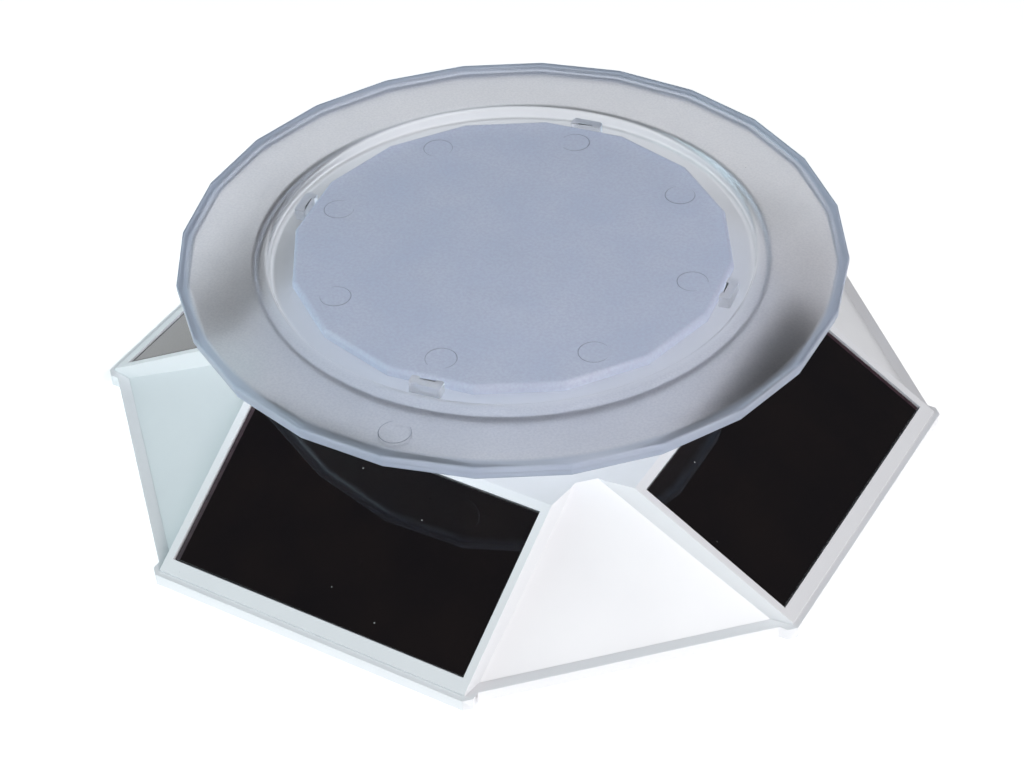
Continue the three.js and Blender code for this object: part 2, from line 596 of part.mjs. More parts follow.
// Routes from each lead's start to its end: on the plate, round the posts and walls in its way.
const LEAD_ROUTES = {
  panel_lead_1: [
    panelLeadStart(0), [38.2, 14.6, 10], [36.6, 17, 4.5], [33, 21, ON_FLOOR], [27, 27.5, ON_FLOOR],
    [20, 34, ON_FLOOR], [13.5, 36.5, 3.4], [9, 36, 6], [6.8, 35.6, 6], [6.4, 35.5, OVER_BOARD],
  ],
  panel_lead_2: [
    panelLeadStart(1), [-13.4, 39.4, 10], [-11.5, 39.2, 7], [-8.5, 39.4, 6.1], [-6.7, 39.5, 5.9],
    [-6.4, 39.5, OVER_BOARD],
  ],
  panel_lead_3: [
    panelLeadStart(2), [-38.6, -13, 10], [-37.4, -10, 4.5], [-36, -4, ON_FLOOR], [-34, 8, ON_FLOOR],
    [-30, 20, ON_FLOOR], [-23, 30, ON_FLOOR], [-14, 35, 3.4], [-9, 35.4, 6], [-6.8, 35.5, 6],
    [-6.4, 35.5, OVER_BOARD],
  ],
  panel_lead_4: [
    panelLeadStart(3), [15.2, -38.6, 10], [18.5, -37.4, 4.5], [23, -37, ON_FLOOR], [27.4, -35.4, ON_FLOOR],
    [29.4, -31.6, ON_FLOOR], [32, -24, ON_FLOOR], [33.5, -10, ON_FLOOR], [33.5, 6, ON_FLOOR],
    [30.5, 18, ON_FLOOR], [24.5, 26, ON_FLOOR], [17.5, 32, ON_FLOOR], [12.5, 33.6, 3.6], [9, 33.4, 6],
    [6.8, 33.2, 6], [6.4, 33.1, OVER_BOARD],
  ],
  battery_lead_1: [
    [26.7, -24, OVER_CONTACT], [27.3, -23.9, 15.5], [28.6, -23.5, 15.5], [29.7, -22.3, 13],
    [30.1, -19, 6.5], [30.2, -16, 3.2], [30.1, -12, ON_FLOOR], [29.6, -5, ON_FLOOR], [28, -0.6, 2.9],
    [27.3, 1.6, 4.4], [27, SWITCH.y - SWITCH.halfLength - GAP, 4.8],
  ],
  battery_lead_2: [
    [-28.7, -24, OVER_CONTACT], [-29.3, -23.9, 15.5], [-30.6, -23.5, 15.5], [-31.7, -22.3, 13],
    [-32.1, -19, 6.5], [-32.2, -16, 3.2], [-32.1, -12, ON_FLOOR], [-31, 2, ON_FLOOR],
    [-27.5, 14, ON_FLOOR], [-22.5, 25, ON_FLOOR], [-16.5, 31, ON_FLOOR], [-12, 32.6, 3.8],
    [-8.8, 33, 6], [-6.8, 33.1, 6], [-6.4, 33.1, OVER_BOARD],
  ],
  switch_lead: [
    [27, SWITCH.y + SWITCH.halfLength + GAP, 4.8], [26.7, 14.6, 4.4], [25.4, 17, 2.8],
    [22, 23, ON_FLOOR], [16.5, 29.6, ON_FLOOR], [11, 31, 3.8], [6, 30.6, 6], [3.4, 32, 6.2],
    [3.1, 33.1, OVER_BOARD],
  ],
  motor_lead: [
    [MOTOR.back + MOTOR_CAP.terminalEnd + 2 * GAP, MOTOR_AXIS.y + MOTOR_CAP.terminalY, MOTOR_AXIS.z],
    [16.6, 26.2, 7.5], [16.6, 29, 7.4], [13, 31, 7.4], [5, 31.4, 7.6], [0.6, 32, 7], [0, 33.1, OVER_BOARD],
  ],
};

function lead(route) {
  const points = route.map((point) => (Array.isArray(point) ? new THREE.Vector3(...point) : point));
  const path = new THREE.CatmullRomCurve3(points);
  const corners = Array.from({ length: LEAD.sides }, (_, side) =>
    new THREE.Vector2(...polar(LEAD.radius, (side * 2 * Math.PI) / LEAD.sides)),
  );
  return new THREE.ExtrudeGeometry(new THREE.Shape(corners), {
    steps: Math.ceil(path.getLength() / LEAD.stepLength),
    bevelEnabled: false,
    extrudePath: path,
  });
}

// ---------------------------------------------------------------- motor and gear train

function motorCan() {
  const { front, back, radius, halfHeight, noseRadius, noseLength } = MOTOR;
  const round = bar(radius, front, back, 0, 0, 32);
  const flats = box([front, back], [-FAR, FAR], [-halfHeight, halfHeight]);
  const nose = bar(noseRadius, front - noseLength, front + ROOT, 0, 0);
  const shaftSocket = bar(SHAFT.socketRadius, front - noseLength - PAST, front + SHAFT.socketDepth, 0, 0);
  return cut(join(common(round, flats), nose), shaftSocket);
}

function motorEndCap() {
  const start = MOTOR.back + JOINT_LINE;
  const end = start + MOTOR_CAP.length;
  const halfHeight = MOTOR.halfHeight - MOTOR_CAP.inset;
  const round = bar(MOTOR.radius - MOTOR_CAP.inset, start, end, 0, 0, 32);
  const flats = box([start, end], [-FAR, FAR], [-halfHeight, halfHeight]);
  const { terminalY, terminalHalf, terminalEnd } = MOTOR_CAP;
  const bladeHalf = 0.2;
  const terminals = [-terminalY, terminalY].map((y) =>
    box([end - ROOT, start + terminalEnd], [y - terminalHalf, y + terminalHalf], [-bladeHalf, bladeHalf]),
  );
  return join(common(round, flats), ...terminals);
}

function worm() {
  return cut(wormThread(), bar(WORM.bore, -WORM.length, WORM.length, 0, 0));
}

function motorShaft() {
  return bar(SHAFT.radius, SHAFT.end, MOTOR.front + SHAFT.inMotor, 0, 0);
}

// The worm wheel's teeth lean with the worm's thread, and its pinion stands on top of it.
function wormWheel() {
  const toothed = prism(gearOutline(TEETH.wheel, TOOTH.wheel), WHEEL.bottom, WHEEL.top);
  toothed.rotateZ(Math.PI / TEETH.wheel);
  const lean = MODULE / 2 / WORM.pitchRadius / pitchRadius(TEETH.wheel);
  const position = toothed.attributes.position;
  for (let i = 0; i < position.count; i++) {
    const turn = lean * (position.getZ(i) - MOTOR_AXIS.z);
    const [x, y] = [position.getX(i), position.getY(i)];
    position.setXY(i, x * Math.cos(turn) - y * Math.sin(turn), x * Math.sin(turn) + y * Math.cos(turn));
  }
  const pinion = prism(gearOutline(TEETH.pinion, TOOTH.pinion), WHEEL.top - ROOT, BRIDGE.bottom - GAP);
  pinion.rotateZ(WHEEL_BEARING + Math.PI);
  const hub = post(WHEEL.hubRadius, WHEEL.hubBottom, WHEEL.hubTop);
  return cut(join(toothed, pinion, hub), post(WHEEL.bore, 0, BRIDGE.bottom, 0, 0, 24));
}

function outputGear() {
  const toothed = prism(gearOutline(TEETH.output, TOOTH.output), OUTPUT.bottom, OUTPUT.top);
  const hub = post(OUTPUT.hubRadius, OUTPUT.hubBottom, OUTPUT.top);
  return cut(join(toothed, hub), post(OUTPUT.bore, 0, OUTPUT.top + PAST));
}

function gearBridge() {
  const { bottom, top, postX, postY, halfWidth, sideHalf } = BRIDGE;
  const beam = ([x0, y0], [x1, y1], half) => {
    const length = Math.hypot(x1 - x0, y1 - y0);
    const straight = box([0, length], [-half, half], [bottom, top]);
    straight.rotateZ(Math.atan2(y1 - y0, x1 - x0)).translate(x0, y0, 0);
    return join(straight, post(half, bottom, top, x0, y0, 20), post(half, bottom, top, x1, y1, 20));
  };
  const plate = join(
    beam([-postX, -postY], [postX, postY], halfWidth),
    beam([0, 0], [WHEEL_AXIS.x, WHEEL_AXIS.y], sideHalf),
  );
  const hole = (radius, x, y, sides) => post(radius, bottom - PAST, top + PAST, x, y, sides);
  return cut(
    plate,
    hole(BRIDGE_HOLE.radius, postX, postY, 16),
    hole(BRIDGE_HOLE.radius, -postX, -postY, 16),
    hole(WHEEL_PIN.radius + JOINT_LINE, WHEEL_AXIS.x, WHEEL_AXIS.y, 16),
    hole(BUSH.radius + JOINT_LINE, 0, 0, 32),
  );
}

// ---------------------------------------------------------------- spindle and turntable

function spindleBush() {
  const bottom = COVER.top - COVER.wall + JOINT_LINE;
  const flangeBottom = COLLAR.top + JOINT_LINE;
  const top = flangeBottom + BUSH.flangeHeight;
  const profile = [
    [BUSH.bore, bottom],
    [BUSH.radius, bottom],
    [BUSH.radius, flangeBottom],
    [BUSH.flange, flangeBottom],
    [BUSH.flange, top],
    [BUSH.bore, top],
    [BUSH.bore, bottom],
  ];
  return turned(profile, 32);
}

function thrustWasher() {
  const { bore, radius, thickness } = WASHER;
  return turned([[bore, 0], [radius, 0], [radius, thickness], [bore, thickness], [bore, 0]], 32);
}

function turntableHub() {
  const { bottom, radius, neckTop, top, boreTop } = HUB;
  const profile = [
    [OUTPUT.bore, bottom],
    [radius, bottom],
    [radius, neckTop],
    [HUB_FLANGE.radius, HUB_FLANGE.bottom],
    [HUB_FLANGE.radius, top],
    [HUB_SCREW.pilot, top],
    [HUB_SCREW.pilot, boreTop],
    [OUTPUT.bore, boreTop],
    [OUTPUT.bore, bottom],
  ];
  return turned(profile, 32);
}

// The 24-sided rim: a flat skin with a skirt, whose upper half stands a little proud of its lower half.
function diskRim() {
  const { sides, radius, drafted, top, middle, bottom, topEdge, bottomEdge } = DISK;
  const { skin, skirt, skirtDraft } = DISK;
  const inner = DISK.stepRadius + DISK.stepWall - PAST;
  const profile = [
    [inner, top - skin],
    [drafted - skirt - skirtDraft, top - skin],
    [drafted - skirt, bottom],
    [drafted - bottomEdge, bottom],
    [drafted, bottom + bottomEdge],
    [drafted, middle],
    [radius, middle],
    [radius, top - topEdge],
    [radius - topEdge, top],
    [inner, top],
    [inner, top - skin],
  ];
  return turned(profile, sides);
}

// The round tray inside the rim, with the sunk seat for the hub screw in its middle.
function diskTray() {
  const { top, stepRadius, stepWall, stepDraft, floorTop, floorBottom, centreHole } = DISK;
  const { wellRadius, wellWall, wellTop, wellBottom } = DISK;
  const profile = [
    [centreHole, wellBottom],
    [wellRadius + wellWall, wellBottom],
    [wellRadius + wellWall, floorBottom],
    [stepRadius + stepWall, floorBottom],
    [stepRadius + stepWall, top],
    [stepRadius, top],
    [stepRadius - stepDraft, floorTop],
    [wellRadius, floorTop],
    [wellRadius, wellTop],
    [centreHole, wellTop],
    [centreHole, wellBottom],
  ];
  return turned(profile, 60);
}

function turntableDisk() {
  const { inner, outer, halfWidth, top } = CLIP;
  const clip = box([inner, outer], [-halfWidth, halfWidth], [DISK.floorTop - ROOT, top]);
  return join(diskRim(), diskTray(), ...onAllSides(clip));
}

function insertPlate() {
  const { sides, radius, bottom, top, edge } = INSERT;
  const profile = [[0, bottom], [radius, bottom], [radius, top - edge], [radius - edge, top], [0, top]];
  return turned(profile, sides);
}

// ---------------------------------------------------------------- fasteners and feet

// A pan-head screw along Z with its head at the bottom, pointing up.
function screwPointingUp({ shank, head, headHeight, length }) {
  const [edge, point] = [0.3, 0.8];
  const profile = [
    [0, 0],
    [head - edge, 0],
    [head, edge],
    [head, headHeight],
    [shank, headHeight],
    [shank, length - point],
    [0, length],
  ];
  return turned(profile, 12);
}

function screwPointingDown(size) {
  return screwPointingUp(size).rotateX(Math.PI);
}

function foot() {
  const { radius, thickness, chamfer } = FOOT;
  return turned([[0, 0], [radius - chamfer, 0], [radius, chamfer], [radius, thickness], [0, thickness]], 24);
}

// ---------------------------------------------------------------- finishes

const finish = (color, roughness, metalness = 0) => ({ color, roughness, metalness });
const WHITE_PLASTIC = finish(0xf2f4f6, 0.3);
const FROSTED_PLASTIC = finish(0xc3c8cf, 0.55);
const INSERT_PLASTIC = finish(0xb4bbd0, 0.55);
const SOLAR_GLASS = finish(0x0d0b0a, 0.08);
const RUBBER = finish(0x2b2b2c, 0.9);
const STEEL = finish(0xb9bcc0, 0.3, 1);
const BRASS = finish(0xb08d4a, 0.35, 1);
const NYLON = finish(0xe9e4d6, 0.5);
const BLACK_PLASTIC = finish(0x1b1b1d, 0.5);
const CELL_WRAP = finish(0x3f7d54, 0.4);
const BOARD_GREEN = finish(0x2c6b45, 0.6);
const LEAD_SLEEVE = finish(0x8e2a26, 0.6);

// ---------------------------------------------------------------- assembly

const stand = new THREE.Group();
stand.position.z = FOOT_PROUD;

function group(parent, { position = [0, 0, 0], turn = 0 } = {}) {
  const made = new THREE.Group();
  made.position.set(...position);
  made.rotation.z = turn;
  parent.add(made);
  return made;
}

function place(parent, name, geometry, look, position = [0, 0, 0]) {
  const mesh = new THREE.Mesh(geometry, new THREE.MeshStandardMaterial(look));
  mesh.name = name;
  mesh.position.set(...position);
  mesh.geometry.computeVertexNormals();
  parent.add(mesh);
  return mesh;
}

// Base: shell, plate, feet, screws and panels.
place(stand, "base_cover", baseCover(), WHITE_PLASTIC);
place(stand, "base_plate", basePlate(), WHITE_PLASTIC);
for (const quarter of QUARTER_TURNS) {
  const number = quarter + 1;
  const corner = group(stand, { turn: (quarter * Math.PI) / 2 });
  place(corner, `rubber_foot_${number}`, foot(), RUBBER, [FOOT.place, FOOT.place, -FOOT_PROUD]);
  const screw = screwPointingUp(BASE_SCREW);
  place(corner, `base_screw_${number}`, screw, STEEL, [BASE_SCREW.place, BASE_SCREW.place, JOINT_LINE]);

  const arm = group(corner, { position: [POCKET.radius, 0, POCKET.height] });
  const panel = place(arm, `solar_panel_${number}`, solarPanel(), SOLAR_GLASS);
  panel.rotation.y = ARM_SLOPE;
}

// Battery, its contacts and its door, the switch, the board and the leads.
place(stand, "battery_door", batteryDoor(), WHITE_PLASTIC);
place(stand, "battery_cell", batteryCell(), CELL_WRAP, [0, CELL.y, CELL.z]);
place(stand, "contact_spring", contactSpring(), STEEL);
place(stand, "contact_plate", contactPlate(), STEEL);
place(stand, "switch_body", switchBody(), BLACK_PLASTIC);
place(stand, "switch_slider", switchSlider(), BLACK_PLASTIC, [SWITCH.x, SWITCH.y - SWITCH.travel / 2, 0]);
place(stand, "wiring_board", wiringBoard(), BOARD_GREEN);
place(stand, "blocking_diode", blockingDiode(), BLACK_PLASTIC);
for (const [name, route] of Object.entries(LEAD_ROUTES)) {
  place(stand, name, lead(route), LEAD_SLEEVE);
}

// Motor and worm, about the motor's own axis.
const motor = group(stand, { position: [0, MOTOR_AXIS.y, MOTOR_AXIS.z] });
place(motor, "motor_can", motorCan(), STEEL);
place(motor, "motor_end_cap", motorEndCap(), BLACK_PLASTIC);
place(motor, "motor_shaft", motorShaft(), STEEL);
place(motor, "worm", worm(), NYLON, [WHEEL_AXIS.x, 0, 0]);

// Worm wheel on its pin, held at the top by the bridge.
const wheel = group(stand, { position: [WHEEL_AXIS.x, WHEEL_AXIS.y, 0] });
place(wheel, "worm_wheel", wormWheel(), NYLON);
place(wheel, "wheel_pin", post(WHEEL_PIN.radius, WHEEL_PIN.bottom, WHEEL_PIN.top, 0, 0, 16), STEEL);
place(stand, "gear_bridge", gearBridge(), NYLON);
const bridgeScrewTop = BRIDGE.top + BRIDGE_SCREW.headHeight + JOINT_LINE;
[1, -1].forEach((side, index) => {
  const position = [side * BRIDGE.postX, side * BRIDGE.postY, bridgeScrewTop];
  place(stand, `bridge_screw_${index + 1}`, screwPointingDown(BRIDGE_SCREW), STEEL, position);
});

// Spindle bearings, fixed in the base.
const washerHeight = COLLAR.top + BUSH.flangeHeight + 2 * JOINT_LINE;
place(stand, "spindle_bush", spindleBush(), BRASS);
place(stand, "thrust_washer", thrustWasher(), NYLON, [0, 0, washerHeight]);

// Turntable: everything that turns with the spindle.
const turntable = group(stand);
place(turntable, "spindle", post(SPINDLE.radius, SPINDLE.bottom, SPINDLE.top), STEEL);
place(turntable, "output_gear", outputGear(), NYLON);
place(turntable, "turntable_hub", turntableHub(), WHITE_PLASTIC);
const plate = group(turntable, { turn: DISK.turn });
place(plate, "turntable_disk", turntableDisk(), FROSTED_PLASTIC);
const insert = place(plate, "insert_plate", insertPlate(), INSERT_PLASTIC);
insert.rotation.z = Math.PI / INSERT.sides;
const hubScrewTop = DISK.wellTop + HUB_SCREW.headHeight + JOINT_LINE;
const hubScrew = screwPointingDown({ ...HUB_SCREW, length: hubScrewTop - JOINT_LINE - HUB_SCREW.tip });
place(plate, "hub_screw", hubScrew, STEEL, [0, 0, hubScrewTop]);

export default stand;
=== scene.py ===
# Looks for the solar turntable display stand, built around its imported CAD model. Metres, +Z up.
import json
import math

import bmesh
import bpy
from mathutils import Matrix, Vector


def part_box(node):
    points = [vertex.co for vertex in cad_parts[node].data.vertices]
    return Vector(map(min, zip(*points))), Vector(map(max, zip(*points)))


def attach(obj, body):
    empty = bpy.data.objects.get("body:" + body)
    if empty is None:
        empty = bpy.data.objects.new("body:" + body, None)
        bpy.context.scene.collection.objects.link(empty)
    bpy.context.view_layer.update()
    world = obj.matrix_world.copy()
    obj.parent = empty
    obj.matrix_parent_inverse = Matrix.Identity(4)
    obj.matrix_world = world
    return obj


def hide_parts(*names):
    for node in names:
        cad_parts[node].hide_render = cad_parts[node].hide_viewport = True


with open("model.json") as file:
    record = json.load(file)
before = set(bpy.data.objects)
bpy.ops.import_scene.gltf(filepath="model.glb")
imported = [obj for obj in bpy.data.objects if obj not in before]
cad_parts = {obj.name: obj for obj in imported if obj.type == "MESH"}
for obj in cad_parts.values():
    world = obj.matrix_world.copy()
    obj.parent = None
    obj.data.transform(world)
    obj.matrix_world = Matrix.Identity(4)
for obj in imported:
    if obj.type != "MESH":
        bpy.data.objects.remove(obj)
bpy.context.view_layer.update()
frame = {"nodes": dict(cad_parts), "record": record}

MM = 0.001
QUARTER = math.pi / 2
scene = bpy.context.scene

# ---------------------------------------------------------------- driving dimensions, in millimetres

TURN = math.radians(9.2)  # how far the turntable stands turned at rest

DISK_SIDES = 24
RIM = {"radius": 55.0, "drafted": 54.6, "middle": 33.5, "bottom": 32.1, "skirt": 0.9, "skirt_draft": 0.2}
RING = {"top": 34.74, "ceiling": 33.5, "rows": (52, 49, 46, 43)}  # rows of points across the flat ring
STEP = {"radius": 40.2, "draft": 0.6, "wall": 1.8}
TRAY = {"top": 32.8, "bottom": 31.5}
WELL = {"radius": 9.0, "wall": 1.5, "top": 30.9, "hole": 1.3}
FROSTED_CHANNEL = {"inner": 36.0, "outer": 40.4, "soft": 1.2}  # the tray's edge, round the insert
FROSTED_RIM = {"inner": 53.5, "outer": 60.0, "soft": 0.8}  # the rim's skirt, cloudier than the flat ring
ROUND_TO_FLAT = (43.0, 52.0)  # between these radii the rim's outline turns from a circle to a polygon

INSERT = {"sides": 16, "radius": 36.5, "bottom": 32.9, "top": 34.6, "row": 30, "core": 2}
CLIP = {"inner": 36.15, "outer": 38.1, "half": 2.7, "top": 34.7, "bottom": 32.7, "edge": 0.12}
CLIP_SLOT = {"half": 1.35, "depth": 0.5}

# The strip of bare backing on each panel, and the way that its side faces, by the panel's number.
STRIP = {"width": 0.8, "sides": {1: (0, 1, 0), 2: (1, 0, 0), 3: (0, -1, 0), 4: (-1, 0, 0)}}

# The cross in each base screw. Its turn is in radians, from each screw to the next.
RECESS = {"reach": 1.5, "half": 0.34, "depth": 0.7, "rounding": 0.1, "turn": 0.7}

MARK = {"radius": 2.5, "wire": 0.06, "flatness": 0.6, "steps": 28, "section": 6, "blunt": 0.06}
MARK_SPAN = math.radians(290)
MARK_TURN = 1.9  # radians from one mark's opening to the next
INSERT_MARKS = {"radius": 31.0, "places": range(0, 360, 45)}  # degrees round the disk
RING_MARKS = {"radius": 49.4, "places": [270]}

# For each piece that only rounds off a CAD node: the node, its body, its slot, and how it is rounded.
ROUNDED = {
    "cover_shell": (
        "base_cover", "base", "white_plastic", {"radius": 0.45, "least_length": 0.9, "least_turn": 25}
    ),
    "plate_shell": ("base_plate", "base", "white_plastic", {"radius": 0.3, "least_length": 5}),
    "hub_turning": ("turntable_hub", "turntable", "white_plastic", {"radius": 0.3, "least_length": 1}),
    "door_cover": ("battery_door", "door", "white_plastic", {"radius": 0.15, "least_length": 1.5}),
    "slider_cap": ("switch_slider", "switch", "black_plastic", {"radius": 0.08, "least_length": 1}),
}
for number in range(1, 5):
    foot = (f"rubber_foot_{number}", "base", "rubber", {"radius": 0.15, "least_length": 0.8})
    ROUNDED[f"foot_pad_{number}"] = foot

# ---------------------------------------------------------------- camera, room and lights

CAMERA_PLACE = Vector((163.43, -270.41, 270.90)) * MM
CAMERA_AZIMUTH = math.radians(-31.296)
CAMERA_DOWN = math.radians(40.117)
CAMERA_ROLL = math.radians(-2.136)
CAMERA_LENS = 84.43  # millimetres, for the sensor width below
SENSOR_WIDTH = 36

WORLD = {"colour": (0.92, 0.94, 1.0), "strength": 0.08}
SOFTBOXES = {
    "key": {"place": (0.55, -0.2, 0.5), "size": 0.4, "power": 3.6, "colour": (1.0, 0.985, 0.985)},
    "fill": {"place": (-0.55, -0.35, 0.3), "size": 0.5, "power": 2.6, "colour": (0.76, 0.98, 1.0)},
}
FLOOR = {"size": 6.0, "drop": 0.05, "glow": 0.56}  # the drop, in millimetres, keeps it clear of the feet


def add_camera():
    data = bpy.data.cameras.new("camera")
    data.lens = CAMERA_LENS
    data.sensor_width = SENSOR_WIDTH
    data.clip_start = 0.01
    data.clip_end = 20
    camera = bpy.data.objects.new("camera", data)
    scene.collection.objects.link(camera)
    level = math.cos(CAMERA_DOWN)
    ahead = Vector(
        (math.sin(CAMERA_AZIMUTH) * level, math.cos(CAMERA_AZIMUTH) * level, -math.sin(CAMERA_DOWN))
    )
    right = Vector((math.cos(CAMERA_AZIMUTH), -math.sin(CAMERA_AZIMUTH), 0))
    up = right.cross(ahead)
    x = math.cos(CAMERA_ROLL) * right + math.sin(CAMERA_ROLL) * up
    y = -math.sin(CAMERA_ROLL) * right + math.cos(CAMERA_ROLL) * up
    place = Matrix((x, y, -ahead)).transposed().to_4x4()
    place.translation = CAMERA_PLACE
    camera.matrix_world = place
    scene.camera = camera


def add_softbox(name, place, size, power, colour):
    """A square soft light that faces the stand. Its place is in metres."""
    data = bpy.data.lights.new(name, "AREA")
    data.size = size
    data.energy = power
    data.color = colour
    light = bpy.data.objects.new(name, data)
    light.location = place
    light.rotation_mode = "QUATERNION"
    light.rotation_quaternion = (-Vector(place)).to_track_quat("-Z", "Y")
    scene.collection.objects.link(light)


def add_world(colour, strength):
    world = bpy.data.worlds.new("studio")
    world.use_nodes = True
    background = world.node_tree.nodes["Background"]
    background.inputs["Color"].default_value = (*colour, 1)
    background.inputs["Strength"].default_value = strength
    scene.world = world


def add_floor():
    """A white floor that glows a little, so that it renders as white as the photograph's background."""
    bm = bmesh.new()
    bmesh.ops.create_grid(bm, x_segments=8, y_segments=8, size=FLOOR["size"])
    mesh = bpy.data.meshes.new("floor")
    bm.to_mesh(mesh)
    bm.free()
    floor = bpy.data.objects.new("floor", mesh)
    floor.location.z = -FLOOR["drop"] * MM
    scene.collection.objects.link(floor)
    finish = Finish("floor", roughness=0.7)
    finish.set("Base Color", finish.clouded(60, (0.94, 0.94, 0.95), (0.92, 0.92, 0.93)))
    finish.set("Emission Color", (1.0, 1.0, 1.0))
    finish.set("Emission Strength", FLOOR["glow"])
    mesh.materials.append(finish.material)


# ---------------------------------------------------------------- materials


class Finish:
    """A Principled material, with short ways to wire the nodes that vary it over the surface."""

    def __init__(self, name, **uniform):
        self.material = bpy.data.materials.new(name)
        self.material.use_nodes = True
        self.tree = self.material.node_tree
        self.shader = self.tree.nodes["Principled BSDF"]
        self.place = self.tree.nodes.new("ShaderNodeTexCoord").outputs["Object"]
        for socket, value in uniform.items():
            self.set(socket.replace("_", " ").title().replace("Ior", "IOR"), value)

    def set(self, socket, value):
        self.wire(value, self.shader.inputs[socket])

    def wire(self, value, socket):
        """Gives a socket a link, a colour or a number."""
        if isinstance(value, bpy.types.NodeSocket):
            self.tree.links.new(value, socket)
        elif isinstance(value, tuple):
            socket.default_value = (*value, 1)
        else:
            socket.default_value = value

    def stretched(self, x, y, z):
        """The surface's own place, stretched along each axis."""
        node = self.tree.nodes.new("ShaderNodeMapping")
        node.inputs["Scale"].default_value = (x, y, z)
        self.tree.links.new(self.place, node.inputs["Vector"])
        return node.outputs["Vector"]

    def noise(self, size, detail=3.0, place=None):
        """Soft noise from 0 to 1, with features of about size millimetres."""
        node = self.tree.nodes.new("ShaderNodeTexNoise")
        node.inputs["Scale"].default_value = 1 / (size * MM)
        node.inputs["Detail"].default_value = detail
        self.tree.links.new(place or self.place, node.inputs["Vector"])
        return node.outputs["Fac"]

    def specks(self, spacing, radius, share):
        """1 on scattered specks and 0 elsewhere. Spacing and radius are in millimetres."""
        node = self.tree.nodes.new("ShaderNodeTexVoronoi")
        node.inputs["Scale"].default_value = 1 / (spacing * MM)
        self.tree.links.new(self.place, node.inputs["Vector"])
        near = self.maths("LESS_THAN", node.outputs["Distance"], radius / spacing)
        parts = self.tree.nodes.new("ShaderNodeSeparateColor")
        self.tree.links.new(node.outputs["Color"], parts.inputs["Color"])
        chosen = self.maths("LESS_THAN", parts.outputs["Red"], share)
        return self.maths("MULTIPLY", near, chosen)

    def ring(self, inner, outer, soft):
        """1 between two radii about the Z axis, in millimetres, fading out over the distance soft."""
        flat = self.tree.nodes.new("ShaderNodeVectorMath")
        flat.operation = "MULTIPLY"
        flat.inputs[1].default_value = (1 / MM, 1 / MM, 0)
        self.tree.links.new(self.place, flat.inputs[0])
        length = self.tree.nodes.new("ShaderNodeVectorMath")
        length.operation = "LENGTH"
        self.tree.links.new(flat.outputs[0], length.inputs[0])
        radius = length.outputs["Value"]
        rising = self.between(radius, 0, 1, inner - soft, inner)
        falling = self.between(radius, 1, 0, outer, outer + soft)
        return self.maths("MULTIPLY", rising, falling)

    def maths(self, operation, first, second=0.0):
        node = self.tree.nodes.new("ShaderNodeMath")
        node.operation = operation
        self.wire(first, node.inputs[0])
        self.wire(second, node.inputs[1])
        return node.outputs["Value"]

    def between(self, value, low, high, from_low=0.3, from_high=0.7):
        """Maps a value to the range from low to high. Noise lies mostly between 0.3 and 0.7."""
        node = self.tree.nodes.new("ShaderNodeMapRange")
        self.tree.links.new(value, node.inputs["Value"])
        ends = {"From Min": from_low, "From Max": from_high, "To Min": low, "To Max": high}
        for socket, number in ends.items():
            node.inputs[socket].default_value = number
        return node.outputs["Result"]

    def blend(self, share, first, second):
        """The first colour where share is 0 and the second where it is 1."""
        node = self.tree.nodes.new("ShaderNodeMix")
        node.data_type = "RGBA"
        self.wire(share, node.inputs["Factor"])
        self.wire(first, node.inputs[6])
        self.wire(second, node.inputs[7])
        return node.outputs[2]

    def clouded(self, size, light, dark, detail=3.0):
        """A colour that drifts between light and dark, in clouds of about size millimetres."""
        return self.blend(self.between(self.noise(size, detail), 0, 1), light, dark)

    def bump(self, height, depth):
        """Raises the surface by up to depth millimetres where height is 1."""
        node = self.tree.nodes.new("ShaderNodeBump")
        node.inputs["Distance"].default_value = depth * MM
        self.tree.links.new(height, node.inputs["Height"])
        self.set("Normal", node.outputs["Normal"])

    def let_lamps_through(self, colour):
        """Lets light from lamps reach what is behind, tinted."""
        path = self.tree.nodes.new("ShaderNodeLightPath")
        clear = self.tree.nodes.new("ShaderNodeBsdfTransparent")
        clear.inputs["Color"].default_value = (*colour, 1)
        either = self.tree.nodes.new("ShaderNodeMixShader")
        self.tree.links.new(path.outputs["Is Shadow Ray"], either.inputs[0])
        self.tree.links.new(self.shader.outputs[0], either.inputs[1])
        self.tree.links.new(clear.outputs[0], either.inputs[2])
        self.tree.links.new(either.outputs[0], self.tree.nodes["Material Output"].inputs["Surface"])


def moulded(name, light, dark, roughness, grain=0.012):
    """Moulded plastic: slightly uneven in colour and gloss, with a faint grain."""
    made = Finish(name)
    made.set("Base Color", made.clouded(9, light, dark))
    made.set("Roughness", made.between(made.noise(5, 4), *roughness))
    made.bump(made.noise(0.9, 4), grain)
    return made


def metal(name, light, dark, roughness):
    """Metal: finely uneven in colour, gloss and height."""
    made = Finish(name, metallic=1.0)
    fine = made.noise(0.6, 4)
    made.set("Base Color", made.blend(made.between(fine, 0, 1), light, dark))
    made.set("Roughness", made.between(fine, *roughness))
    made.bump(fine, 0.01)
    return made


def white_plastic():
    made = Finish("white_plastic", coat_weight=0.2, coat_roughness=0.16)
    tone = made.clouded(14, (0.91, 0.915, 0.94), (0.88, 0.885, 0.915))
    dust = made.specks(spacing=5, radius=0.09, share=0.25)
    made.set("Base Color", made.blend(made.maths("MULTIPLY", dust, 0.6), tone, (0.45, 0.44, 0.43)))
    made.set("Roughness", made.between(made.noise(12, 3), 0.29, 0.34))
    made.bump(made.noise(1.1, 3), 0.003)
    return made


